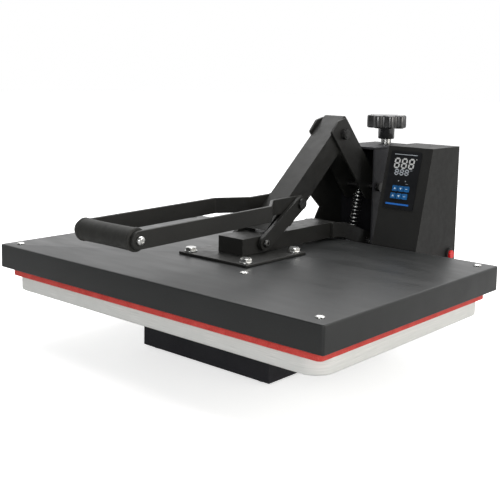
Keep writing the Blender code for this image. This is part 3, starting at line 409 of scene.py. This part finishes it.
def rolled(low, high, radius, bottom_edge, top_edge, steps=6, arc=4):
    """Rings of a flat slab whose bottom and top edges are rounded."""
    rings = []
    for k in range(arc + 1):
        turn = math.pi / 2 * k / arc
        rings.append(ring_at(low, high, radius, bottom_edge * (1 - math.sin(turn)),
                             low.z + bottom_edge * (1 - math.cos(turn)), steps))
    for k in range(arc + 1):
        turn = math.pi / 2 * k / arc
        rings.append(ring_at(low, high, radius, top_edge * (1 - math.cos(turn)),
                             high.z - top_edge * (1 - math.sin(turn)), steps))
    return rings


def turned(profile, centre, axis, sides=48):
    """Rings of a turned shape: profile is (distance along the axis, radius) pairs."""
    axis = Vector(axis).normalized()
    across = axis.orthogonal().normalized()
    other = axis.cross(across)
    rings = []
    for along, radius in profile:
        rings.append([centre + axis * along + across * (radius * math.cos(2 * math.pi * i / sides))
                      + other * (radius * math.sin(2 * math.pi * i / sides)) for i in range(sides)])
    return rings


def fillet(along, radius, edge, way, steps=4):
    """Profile points of a rounded rim that ends at `along`; way is 1 at the far end, -1 at the near end."""
    points = []
    for k in range(steps + 1):
        turn = math.pi / 2 * k / steps
        points.append((along - way * edge * (1 - math.sin(turn)), radius - edge * (1 - math.cos(turn))))
    return points if way > 0 else points[::-1]


# ---- sheet-metal cover, platens and pad -----------------------------------------------------------------
COVER_WALL = 0.002
COVER_CORNER = 0.0035
COVER_INNER_CORNER = 0.0016
COVER_ROLL = 0.0022
BREAK = 0.0004               # a small broken edge
# Corner radius seen from above, then the rounding of the bottom and the top edge, then steps in a corner.
PLATEN_ROUNDING = (0.030, 0.0030, 0.0016, 12)
MAT_ROUNDING = (0.007, 0.0012, 0.0012, 5)
MOUNT_ROUNDING = (0.0022, 0.0006, 0.0008, 4)


def finish_cover():
    """A folded lid: open below, with rolled upper edges."""
    low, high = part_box("heat_cover")
    wall = Vector((COVER_WALL, COVER_WALL, 0.0))
    rings = [ring_at(low + wall, high - wall, COVER_INNER_CORNER, 0.0, high.z - COVER_WALL),
             ring_at(low + wall, high - wall, COVER_INNER_CORNER, 0.0, low.z + BREAK),
             ring_at(low, high, COVER_CORNER, COVER_WALL - BREAK, low.z),
             ring_at(low, high, COVER_CORNER, BREAK, low.z),
             ring_at(low, high, COVER_CORNER, 0.0, low.z + BREAK)]
    for k in range(6):
        turn = math.pi / 2 * k / 5
        rings.append(ring_at(low, high, COVER_CORNER, COVER_ROLL * (1 - math.cos(turn)),
                             high.z - COVER_ROLL * (1 - math.sin(turn))))
    stand_in("heat_cover", "heat_cover_shell", loft(rings))


def finish_slabs():
    """The cast lower platen, the mat that lies on it and the plate under the arm."""
    low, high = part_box("lower_platen")
    stand_in("lower_platen", "lower_platen_casting", loft(rolled(low, high, *PLATEN_ROUNDING)))
    low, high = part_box("silicone_pad")
    mat = stand_in("silicone_pad", "silicone_mat", loft(rolled(low, high, *MAT_ROUNDING)))
    low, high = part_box("mount_plate")
    stand_in("mount_plate", "mount_plate_finished", loft(rolled(low, high, *MOUNT_ROUNDING)))


finish_cover()
finish_slabs()

EDGE_WIDTHS = {"base_frame": 0.0022, "column": 0.0009, "column_cap": 0.0009, "control_box": 0.0014,
               "control_box_back": 0.0004, "arm_tube": 0.0020, "lever_tube": 0.0022,
               "handle_bar_left": 0.0010, "handle_bar_right": 0.0010, "link_bar_left": 0.0008,
               "link_bar_right": 0.0008, "rocker_plate_left": 0.0008, "rocker_plate_right": 0.0008,
               "arm_side_plate_left": 0.0008, "arm_side_plate_right": 0.0008, "column_gusset": 0.0006,
               "rocker_crossbar": 0.0010, "switch_bezel": 0.0008, "power_button": 0.0010,
               "power_inlet": 0.0008}

for node, width in EDGE_WIDTHS.items():
    softened(node, width)


# ---- grip, feet and knob ---------------------------------------------------------------------------------
GRIP_EDGE = 0.0022
GRIP_COLLAR = 0.0050
GRIP_SLOPE = 0.0008          # from the collar down to the waist
GRIP_GROOVE = 0.0006
GRIP_WAIST = 0.0005
GRIP_BORE = 0.0046


def finish_grip():
    """A rubber sleeve with a raised collar at each end and a slight waist."""
    low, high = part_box("handle_grip")
    reach = (high.x - low.x) / 2
    radius = (high.z - low.z) / 2
    collar = reach - GRIP_COLLAR
    slope = collar - GRIP_SLOPE
    waist = radius - GRIP_GROOVE
    steps = 12
    profile = [(-reach + 0.0002, GRIP_BORE), (-reach, GRIP_BORE + BREAK)]
    profile += fillet(-reach, radius, GRIP_EDGE, -1)
    profile += [(-collar, radius), (-slope, waist)]
    for k in range(1, steps):
        along = collar * (2 * k / steps - 1)
        profile.append((along, waist - GRIP_WAIST * math.sin(math.pi * k / steps)))
    profile += [(slope, waist), (collar, radius)]
    profile += fillet(reach, radius, GRIP_EDGE, 1)
    profile += [(reach, GRIP_BORE + BREAK), (reach - 0.0002, GRIP_BORE)]
    stand_in("handle_grip", "handle_grip_sleeve", loft(turned(profile, middle_of(low, high), (1, 0, 0), 64)))


FOOT_EDGE = 0.0008
FOOT_TAPER = 0.0006          # how much narrower the bottom is
FOOT_TAPER_TOP = 0.0020


def finish_feet():
    """Rubber pads with a slightly narrower bottom edge."""
    for node in [name for name in nodes if name.startswith("foot_")]:
        low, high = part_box(node)
        radius = (high.x - low.x) / 2
        profile = fillet(0.0, radius - FOOT_TAPER, FOOT_EDGE, -1) + [(FOOT_TAPER_TOP, radius)]
        profile += fillet(high.z - low.z, radius, FOOT_EDGE, 1)
        stand_in(node, f"{node}_pad", loft(turned(profile, middle_at(low, high, low.z), (0, 0, 1))))


KNOB_LOBES = 8
KNOB_HEIGHT = 0.025
KNOB_LOBE_DEPTH = 0.0028
KNOB_EDGE = 0.0030
KNOB_CROWN = 0.0012
KNOB_NECK = 0.0150
KNOB_NECK_FACE = 0.0055      # the flat end of the neck
KNOB_NECK_CHAMFER = 0.0010
KNOB_FLARE = 0.0015          # where the neck meets the lobes
KNOB_RIM = 0.0085            # from the lobes in to the crowned disc
KNOB_STEPS = 16              # points round a lobe


def knob_profile(bottom, top, outer):
    """(height, radius, lobe) of each ring, from the neck's end up to the middle of the top."""
    rim_bottom = top - KNOB_HEIGHT
    crown = top - KNOB_CROWN
    disc_edge = outer - KNOB_RIM
    profile = [(bottom, KNOB_NECK - KNOB_NECK_FACE, 0.0),
               (bottom, KNOB_NECK - KNOB_NECK_CHAMFER, 0.0),
               (bottom + KNOB_NECK_CHAMFER, KNOB_NECK, 0.0),
               (rim_bottom - 0.002, KNOB_NECK, 0.0),
               (rim_bottom, KNOB_NECK + KNOB_FLARE, 0.0)]
    turns = [math.pi / 2 * k / 4 for k in range(5)]
    profile += [(rim_bottom + KNOB_EDGE * (1 - math.cos(turn)), outer - KNOB_EDGE * (1 - math.sin(turn)),
                 KNOB_LOBE_DEPTH) for turn in turns]
    profile += [(crown - KNOB_EDGE * (1 - math.sin(turn)), outer - KNOB_EDGE * (1 - math.cos(turn)),
                 KNOB_LOBE_DEPTH) for turn in turns]
    profile += [(crown, disc_edge + 0.0006, 0.0), (crown - 0.0006, disc_edge, 0.0),
                (crown - 0.0001, disc_edge - 0.0008, 0.0), (top - 0.0004, disc_edge * 0.75, 0.0),
                (top, disc_edge * 0.3, 0.0)]
    return profile


def knob_ring(centre, height, radius, lobe):
    """Points round the knob at a height; `lobe` sets how far they are drawn in between its lobes."""
    count = KNOB_LOBES * KNOB_STEPS
    points = []
    for i in range(count):
        angle = 2 * math.pi * i / count
        wave = math.cos(KNOB_LOBES * angle)
        reach = radius - lobe * (1 - wave) * (1 - 0.25 * wave)
        points.append((centre.x + reach * math.cos(angle), centre.y + reach * math.sin(angle), height))
    return points


def finish_knob():
    """A lobed knob: rounded rims, a shallow crowned disc on top and a tapering neck."""
    low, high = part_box("pressure_knob")
    centre = middle_at(low, high, 0.0)
    profile = knob_profile(low.z, high.z, (high.x - low.x) / 2)
    rings = [knob_ring(centre, *level) for level in profile]
    stand_in("pressure_knob", "pressure_knob_moulding", loft(rings), 50.0)


finish_grip()
finish_feet()
finish_knob()


# ---- fasteners -------------------------------------------------------------------------------------------
def hexagon_head(grid, centre, axis, across, height, chamfer):
    """A chamfered hexagonal head standing on centre, its corners turned away towards the top."""
    axis = Vector(axis).normalized()
    across_axis = axis.orthogonal().normalized()
    other = axis.cross(across_axis)
    rings = []
    sides = 48
    flat_radius = across / 2
    levels = ((0.0, across), (height - chamfer, across),
              (height - chamfer * 0.45, flat_radius * 1.09), (height, flat_radius * 0.97))
    for along, most in levels:
        ring = []
        for i in range(sides):
            turn = 2 * math.pi * i / sides
            local = (turn + math.pi / 6) % (math.pi / 3) - math.pi / 6
            reach = min(flat_radius / math.cos(local), most)
            ring.append(grid.verts.new(centre + axis * along + across_axis * (reach * math.cos(turn))
                                       + other * (reach * math.sin(turn))))
        rings.append(ring)
    join_rings(grid, rings)


def add_turned(grid, profile, centre, axis, sides=40):
    rings = [[grid.verts.new(point) for point in ring] for ring in turned(profile, centre, axis, sides)]
    join_rings(grid, rings)


WASHER_THICKNESS = 0.0014
MOUNT_BOLT_ACROSS = 0.0160
MOUNT_BOLT_SHANK = 0.0036
MOUNT_BOLT_CHAMFER = 0.0013
SEAT_GAP = 0.0002            # between a head and the face it sits on


def finish_mount_bolts():
    """Hexagonal bolts on washers; only the heads show."""
    for node in [name for name in nodes if name.startswith("mount_bolt_")]:
        low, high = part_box(node)
        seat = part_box("mount_plate")[1].z + SEAT_GAP
        centre = middle_at(low, high, seat)
        washer = (high.x - low.x) / 2 - 0.0001
        tall = high.z - seat - WASHER_THICKNESS
        grid = bmesh.new()
        rim = fillet(0.0, washer, 0.0003, -1) + fillet(WASHER_THICKNESS, washer, BREAK, 1)
        add_turned(grid, rim, centre, (0, 0, 1))
        head = centre + Vector((0, 0, WASHER_THICKNESS))
        hexagon_head(grid, head, (0, 0, 1), MOUNT_BOLT_ACROSS, tall, MOUNT_BOLT_CHAMFER)
        add_turned(grid, [(low.z - seat, MOUNT_BOLT_SHANK), (0.0, MOUNT_BOLT_SHANK)], centre, (0, 0, 1), 20)
        bmesh.ops.recalc_face_normals(grid, faces=grid.faces)
        stand_in(node, f"{node}_plated", grid, 25.0)


def cross_slot(grid, centre, width, length, depth):
    """Two crossed wedges, wide at the top, to be cut from a screw's head."""
    for turn in (math.pi / 4, 3 * math.pi / 4):
        along = Vector((math.cos(turn), math.sin(turn), 0.0))
        aside = Vector((-along.y, along.x, 0.0))
        ends = [centre + along * (sign * length / 2) for sign in (-1, 1)]
        half = aside * width / 2
        top = [ends[0] - half, ends[1] - half, ends[1] + half, ends[0] + half]
        low = [point.lerp(centre, 0.35) - Vector((0, 0, depth)) for point in top]
        rings = [[grid.verts.new(point) for point in ring] for ring in (low, top)]
        join_rings(grid, rings)


CROSS_WIDTH = 0.0011
CROSS_DEPTH = 0.0016


def finish_cover_screws():
    """Domed pan heads with a cross recess."""
    for node in [name for name in nodes if name.startswith("cover_screw_")]:
        low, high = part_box(node)
        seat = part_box("heat_cover")[1].z + SEAT_GAP
        centre = middle_at(low, high, seat)
        radius = (high.x - low.x) / 2
        tall = high.z - seat
        dome = [(0.0, radius - 0.0003), (BREAK, radius)]
        for k in range(1, 8):
            turn = math.pi / 2 * k / 7
            dome.append((BREAK + (tall - BREAK) * math.sin(turn), radius * (0.08 + 0.92 * math.cos(turn))))
        body = bmesh.new()
        add_turned(body, dome, centre, (0, 0, 1))
        obj = stand_in(node, f"{node}_pan_head", body, 40.0)
        slot_grid = bmesh.new()
        cross_slot(slot_grid, centre + Vector((0, 0, tall + BREAK)), CROSS_WIDTH, radius * 1.15, CROSS_DEPTH)
        bmesh.ops.recalc_face_normals(slot_grid, faces=slot_grid.faces)
        carve(obj, slot_grid)


def carve(obj, grid):
    """Cuts the grid's shape from the object and applies the cut."""
    mesh = bpy.data.meshes.new("carver")
    grid.to_mesh(mesh)
    grid.free()
    cutter = bpy.data.objects.new("carver", mesh)
    bpy.context.scene.collection.objects.link(cutter)
    step = obj.modifiers.new("carve", "BOOLEAN")
    step.operation = "DIFFERENCE"
    step.object = cutter
    step.use_self = True
    bpy.context.view_layer.update()
    graph = bpy.context.evaluated_depsgraph_get()
    made = bpy.data.meshes.new_from_object(obj.evaluated_get(graph))
    obj.modifiers.clear()
    obj.data = made
    shade(obj.data, 40.0)
    bpy.data.objects.remove(cutter, do_unlink=True)


PIN_SHANK = 0.0040
HEAD_GAP = 0.0003            # between a pin's head and the bar


def domed_pin(node, bar_node, dome, name):
    """A pin across the press with a domed head and a small socket at each end."""
    low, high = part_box(node)
    radius = (high.z - low.z) / 2
    end = (high.x - low.x) / 2
    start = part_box(bar_node)[1].x + HEAD_GAP
    shoulder = start + 0.0003
    head = [(start, PIN_SHANK), (start, radius - 0.0002), (shoulder, radius)]
    for k in range(1, 7):
        turn = math.pi / 2 * k / 6
        head.append((shoulder + (end - shoulder) * (1 - dome + dome * math.sin(turn)),
                     radius * (0.42 + 0.58 * math.cos(turn))))
    socket = [(end - 0.0001, radius * 0.36), (end - 0.0018, radius * 0.33), (end - 0.0020, radius * 0.05)]
    right = head + socket
    left = [(-along, reach) for along, reach in reversed(right)]
    grid = loft(turned(left + right, middle_of(low, high), (1, 0, 0), 40))
    stand_in(node, name, grid, 30.0)


finish_mount_bolts()
finish_cover_screws()
domed_pin("grip_bolt", "handle_bar_right", 0.75, "grip_bolt_domed")
domed_pin("link_foot_pin", "link_bar_right", 0.6, "link_foot_pin_domed")


# ---- panel -----------------------------------------------------------------------------------------------
def front_of(node):
    """(centre, right, up, normal) of the node's largest face that looks at the operator."""
    mesh = nodes[node].data
    facing = {}
    for polygon in mesh.polygons:
        key = tuple(round(value, 3) for value in polygon.normal)
        facing[key] = facing.get(key, 0.0) + polygon.area
    normal = Vector(max((key for key in facing if key[1] < -0.5), key=facing.get)).normalized()
    right = Vector((1.0, 0.0, 0.0))
    up = normal.cross(right).normalized()
    reach = [mesh.vertices[i].co for polygon in mesh.polygons if polygon.normal.dot(normal) > 0.999
             for i in polygon.vertices]
    rights = [point.dot(right) for point in reach]
    ups = [point.dot(up) for point in reach]
    depth = max(point.dot(normal) for point in reach)
    centre = right * (min(rights) + max(rights)) / 2 + up * (min(ups) + max(ups)) / 2 + normal * depth
    return centre, right, up, normal


MARK_THICKNESS = 0.00010


def marks(name, outlines, plane, body, look):
    """Flat printed shapes, each a thin tile standing on the plane; outlines are in metres across and up."""
    centre, right, up, normal = plane
    grid = bmesh.new()
    for outline in outlines:
        rings = []
        for proud in (0.00002, MARK_THICKNESS):
            rings.append([grid.verts.new(centre + right * u + up * v + normal * proud) for u, v in outline])
        join_rings(grid, rings)
    bmesh.ops.recalc_face_normals(grid, faces=grid.faces)
    return piece(name, grid, body, look)


def bar(u0, v0, u1, v1):
    return [(u0, v0), (u1, v0), (u1, v1), (u0, v1)]


def disc(u, v, radius, sides=20):
    return [(u + radius * math.cos(2 * math.pi * i / sides), v + radius * math.sin(2 * math.pi * i / sides))
            for i in range(sides)]


def digit_eight(u, v, width, height, stroke):
    """The seven segments of an 8, as bars with mitred ends and small gaps, leaning a little."""
    lean = 0.05
    gap = stroke * 0.16
    half = stroke / 2
    outlines = []

    def segment(start, end):
        along = (Vector(end) - Vector(start)).normalized()
        aside = Vector((-along.y, along.x))
        first, last = Vector(start) + along * gap, Vector(end) - along * gap
        points = [first, first + along * half - aside * half, last - along * half - aside * half, last,
                  last - along * half + aside * half, first + along * half + aside * half]
        outlines.append([(u + p.x + lean * p.y, v + p.y) for p in points])

    w, h = width / 2 - half, height / 2 - half
    for level in (-h, 0.0, h):
        segment((-w, level), (w, level))
    for side in (-w, w):
        segment((side, -h), (side, 0.0))
        segment((side, 0.0), (side, h))
    return outlines


def digits(middle, level, pitch, width, height, stroke):
    """Three eights in a row; the middle one stands at (middle, level)."""
    return [outline for place in (-1, 0, 1)
            for outline in digit_eight(place * pitch + middle, level, width, height, stroke)]


# What is printed on the label, in metres across and up from the label's middle.
TOP_LINE = bar(-0.0215, 0.0424, 0.0215, 0.0434)
TEMPERATURE = digits(-0.0008, 0.0280, pitch=0.0136, width=0.0108, height=0.0180, stroke=0.0026)
DEGREE_DOT = disc(0.0212, 0.0362, 0.0009)
TIMER = digits(-0.0030, 0.0130, pitch=0.0095, width=0.0076, height=0.0105, stroke=0.0018)
TIMER_DASH = bar(0.0125, 0.0165, 0.0165, 0.0172)
LAMPS = [disc(u, -0.0015, 0.0010) for u in (-0.0061, 0.0071)]
LAMP_DASH = bar(0.0080, -0.0062, 0.0125, -0.0057)
BLUE_STRIPE = bar(-0.0235, -0.0420, 0.0200, -0.0392)


def panel_graphics():
    """The label's printed line, digits, lamps and stripe."""
    plane = front_of("panel_label")
    marks("panel_top_line", [TOP_LINE], plane, "base", PALE_MARK)
    marks("temperature_digits", TEMPERATURE + [DEGREE_DOT], plane, "base", DIGIT)
    marks("timer_digits", TIMER + [TIMER_DASH], plane, "base", PALE_MARK)
    marks("indicator_lamps", LAMPS + [LAMP_DASH], plane, "base", PALE_MARK)
    marks("panel_stripe", [BLUE_STRIPE], plane, "base", STRIPE)


def key_symbol(place):
    """An arrow up, an arrow down or a dash, as a generic symbol."""
    if place == 3:
        return [bar(-0.0020, -0.0004, 0.0020, 0.0004)]
    tip = 0.0021
    way = 1 if place == 1 else -1
    arrow = [(-tip, -way * tip * 0.7), (tip, -way * tip * 0.7), (0.0, way * tip)]
    return [arrow if way > 0 else arrow[::-1]]


def key_graphics():
    for node in [name for name in nodes if name.startswith("key_")]:
        marks(f"{node}_symbol", key_symbol(int(node[-1])), front_of(node), body_of[node], KEY_MARK)


panel_graphics()
key_graphics()


# ---- spring ----------------------------------------------------------------------------------------------
SPRING_WIRE = 0.0011
SPRING_TURNS = 12
SPRING_STEPS = 20            # points in a turn


def coil_points(bottom, top, radius):
    """Points of the helix, drawn in towards its axis over the first and the last turn."""
    count = SPRING_TURNS * SPRING_STEPS
    points = []
    for i in range(count + 1):
        angle = 2 * math.pi * i / SPRING_STEPS
        middle = bottom.lerp(top, i / count)
        ease = min(1.0, i / SPRING_STEPS, (count - i) / SPRING_STEPS)
        reach = radius * (0.25 + 0.75 * ease)
        points.append((middle.x + reach * math.sin(angle), middle.y + reach * math.cos(angle), middle.z))
    return points


def wire_mesh(points, radius):
    """The mesh of a round wire through the points, closed at both ends."""
    curve = bpy.data.curves.new("lift_spring_coil", "CURVE")
    curve.dimensions = "3D"
    curve.bevel_depth = radius
    curve.bevel_resolution = 3
    curve.use_fill_caps = True
    spline = curve.splines.new("POLY")
    spline.points.add(len(points) - 1)
    for knot, point in zip(spline.points, points):
        knot.co = (*point, 1.0)
    path = bpy.data.objects.new("spring_path", curve)
    bpy.context.scene.collection.objects.link(path)
    bpy.context.view_layer.update()
    mesh = bpy.data.meshes.new_from_object(path.evaluated_get(bpy.context.evaluated_depsgraph_get()))
    bpy.data.objects.remove(path, do_unlink=True)
    mesh.shade_smooth()
    return mesh


def finish_spring():
    """A close round helix in place of the faceted one, from the fixed pin above to the arm's pin below."""
    low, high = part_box("lift_spring")
    pin_low, pin_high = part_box("spring_pin")
    upper_low, upper_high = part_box("rocker_pivot_pin")
    top = middle_of(upper_low, upper_high) - Vector((0, 0, (upper_high.z - upper_low.z) / 2 + 0.001))
    bottom = middle_of(pin_low, pin_high) + Vector((0, 0, (pin_high.z - pin_low.z) / 2 + 0.002))
    radius = (high.x - low.x) / 2 - SPRING_WIRE
    mesh = wire_mesh(coil_points(bottom, top, radius), SPRING_WIRE)
    mesh.materials.clear()
    mesh.materials.append(MATERIALS["zinc"])
    obj = bpy.data.objects.new("lift_spring_coil", mesh)
    bpy.context.scene.collection.objects.link(obj)
    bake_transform(obj)
    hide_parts("lift_spring")


finish_spring()


# ---- floor and light -------------------------------------------------------------------------------------
FLOOR_REACH = 12.0
FLOOR_GLOW = 0.66            # what the camera sees of the paper is lifted to white


def floor():
    """White paper to the camera, a mid grey as a reflector."""
    grid = bmesh.new()
    bmesh.ops.create_grid(grid, x_segments=1, y_segments=1, size=FLOOR_REACH)
    mesh = bpy.data.meshes.new("floor")
    grid.to_mesh(mesh)
    grid.free()
    surface = Surface("floor_paper", 0.9, specular=0.1)
    seen = surface.tree.nodes.new("ShaderNodeLightPath").outputs["Is Camera Ray"]
    paper = surface.blend(surface.noise(0.4, 2.0), (0.90, 0.90, 0.90), (0.94, 0.94, 0.94))
    surface.colour(surface.blend(seen, (0.44, 0.44, 0.44), paper))
    surface.link(paper, surface.shader, "Emission Color")
    surface.link(surface.remap(seen, 0.0, 1.0, 0.0, FLOOR_GLOW), surface.shader, "Emission Strength")
    mesh.materials.append(surface.material)
    obj = bpy.data.objects.new("floor", mesh)
    bpy.context.scene.collection.objects.link(obj)


def area_light(name, place, target, size, power, colour=(1.0, 1.0, 1.0)):
    light = bpy.data.lights.new(name, "AREA")
    light.shape = "RECTANGLE"
    light.size, light.size_y = size
    light.energy = power
    light.color = colour
    obj = bpy.data.objects.new(name, light)
    obj.location = place
    obj.rotation_euler = (Vector(target) - Vector(place)).to_track_quat("-Z", "Y").to_euler()
    bpy.context.scene.collection.objects.link(obj)


BRIGHT_HEADING = (-0.45, 0.88, 0.15)
GLOW_RANGE = (("From Min", -0.4), ("From Max", 1.0), ("To Min", 0.07), ("To Max", 1.20))


def studio():
    """A white surround for the camera. As a light it is bright behind on the left and dim in front."""
    world = bpy.data.worlds.new("studio")
    bpy.context.scene.world = world
    world.use_nodes = True
    tree = world.node_tree
    background = tree.nodes["Background"]
    background.inputs["Color"].default_value = (1.0, 1.0, 1.0, 1.0)
    heading = tree.nodes.new("ShaderNodeVectorMath")
    heading.operation = "DOT_PRODUCT"
    heading.inputs[1].default_value = Vector(BRIGHT_HEADING).normalized()
    tree.links.new(tree.nodes.new("ShaderNodeTexCoord").outputs["Generated"], heading.inputs[0])
    glow = tree.nodes.new("ShaderNodeMapRange")
    for socket, value in GLOW_RANGE:
        glow.inputs[socket].default_value = value
    tree.links.new(heading.outputs["Value"], glow.inputs["Value"])
    strength = tree.nodes.new("ShaderNodeMapRange")
    strength.inputs["To Max"].default_value = 1.0
    tree.links.new(tree.nodes.new("ShaderNodeLightPath").outputs["Is Camera Ray"], strength.inputs["Value"])
    tree.links.new(glow.outputs["Result"], strength.inputs["To Min"])
    tree.links.new(strength.outputs["Result"], background.inputs["Strength"])
    area_light("box_above", (-0.3, 0.5, 2.4), target=(0.0, 0.0, 0.1), size=(2.6, 2.2), power=56.0)
    area_light("box_right", (2.4, 0.6, 0.9), target=(0.1, 0.1, 0.2), size=(1.6, 1.4), power=24.0,
               colour=(1.0, 0.97, 0.92))
    area_light("box_front", (1.2, -2.6, 0.9), target=(0.0, 0.0, 0.1), size=(1.5, 1.0), power=30.0)


floor()
studio()
